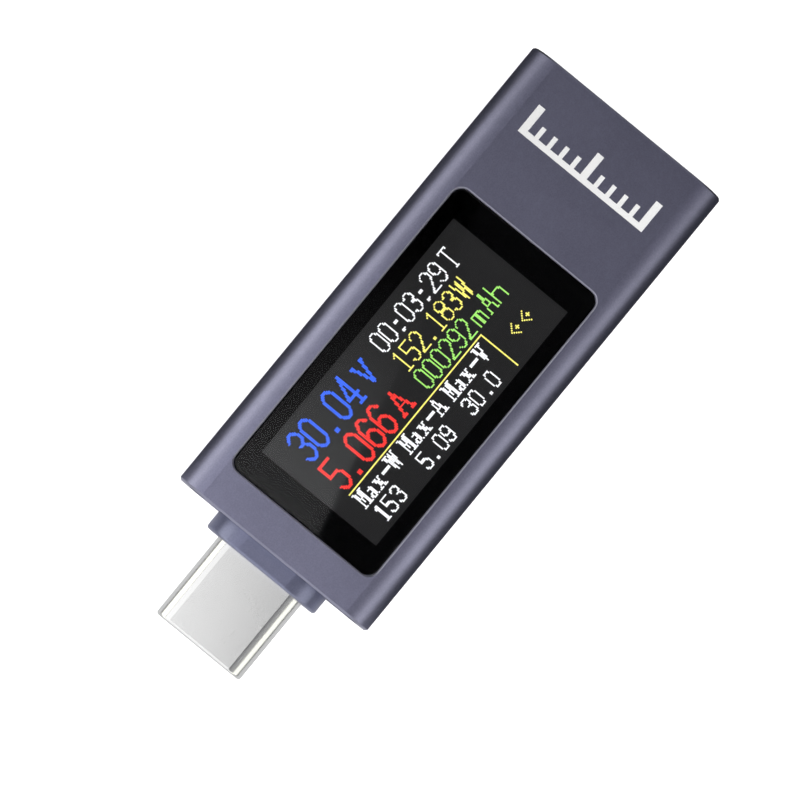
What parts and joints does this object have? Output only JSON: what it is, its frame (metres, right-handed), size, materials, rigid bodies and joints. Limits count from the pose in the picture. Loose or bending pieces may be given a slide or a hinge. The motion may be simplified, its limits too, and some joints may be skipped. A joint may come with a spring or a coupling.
{
  "type": "usb power meter",
  "caption": "Inline USB-C power meter: an aluminium sleeve with a colour display behind glass, a USB-C plug at one end, a USB-C socket at the other and a button beneath.",
  "frame": {"origin": "centre of the overall footprint, from the plug's tip to the socket's face, on the plane of the underside", "axes": "+X from the plug to the socket, which is the display's reading direction; +Y towards the top of the displayed text; +Z out of the screen"},
  "size_m": [0.0518, 0.0186, 0.009],
  "materials": {
    "anodised_sleeve": "bead-blasted and anodised purple-grey",
    "anodised_cap": "satin anodised blue-grey",
    "clear_glass": "polished",
    "black_ink": "screen-printed",
    "tape": "matt",
    "insulating_film": "clear amber",
    "white_frame": "moulded",
    "reflector": "silvered film",
    "light_guide": "clear acrylic",
    "led": "phosphor",
    "diffuser": "matt film",
    "polariser": "anti-glare film",
    "cell_glass": "polished",
    "flex_circuit": "polyimide",
    "foam": "closed-cell foam",
    "board": "solder mask over glass fibre",
    "nickel_shell": "satin nickel plate",
    "spring_steel": "bare spring steel",
    "gold_contacts": "gold plated",
    "black_insert": "moulded, glass filled",
    "chip_body": "moulded epoxy",
    "tin": "tin plate and solder",
    "shunt_metal": "bare resistance alloy",
    "ferrite": "sintered",
    "copper": "enamelled wire",
    "capacitor_body": "fired ceramic",
    "resistor_body": "glazed, on white alumina",
    "button": "moulded"
  },
  "bodies": {
    "meter": {"backlight_leds": "led", "capacitors": "capacitor_body", "clock_crystal": "tin", "controller_chip": "chip_body", "controller_leads": "tin", "converter_chip": "chip_body", "converter_leads": "tin", "cover_glass": "clear_glass", "diffuser_sheet": "diffuser", "display_driver": "chip_body", "display_flex": "flex_circuit", "display_foam": "foam", "display_frame": "white_frame", "front_cell_glass": "cell_glass", "front_polariser": "polariser", "glass_mask": "black_ink", "housing": "anodised_sleeve", "inductor_winding": "copper", "insulating_sheet": "insulating_film", "light_guide": "light_guide", "main_board": "board", "meter_chip": "chip_body", "meter_chip_leads": "tin", "plug_contacts_lower": "gold_contacts", "plug_contacts_upper": "gold_contacts", "plug_end_cap": "anodised_cap", "plug_ground_springs": "spring_steel", "plug_insert": "black_insert", "plug_latch": "spring_steel", "plug_shell": "nickel_shell", "power_inductor": "ferrite", "rear_cell_glass": "cell_glass", "rear_polariser": "polariser", "reflector_sheet": "reflector", "resistors": "resistor_body", "shunt_resistor": "shunt_metal", "socket_contacts_lower": "gold_contacts", "socket_contacts_upper": "gold_contacts", "socket_end_cap": "anodised_cap", "socket_mid_plate": "spring_steel", "socket_shell": "nickel_shell", "socket_tongue": "black_insert", "solder_joints": "tin", "surge_arrays": "chip_body", "surge_diode": "chip_body", "switch_base": "black_insert", "switch_cover": "nickel_shell", "switch_dome": "spring_steel", "window_tape": "tape"},
    "button": {"clear_button": "button", "switch_plunger": "button"}
  },
  "joints": [
    {"name": "button_press", "type": "slide", "parent": "meter", "child": "button", "axis": [0, 0, 1], "range_m": [0, 0.00025], "stiffness_N_per_m": 4000, "deforming": ["switch_dome"]}
  ]
}
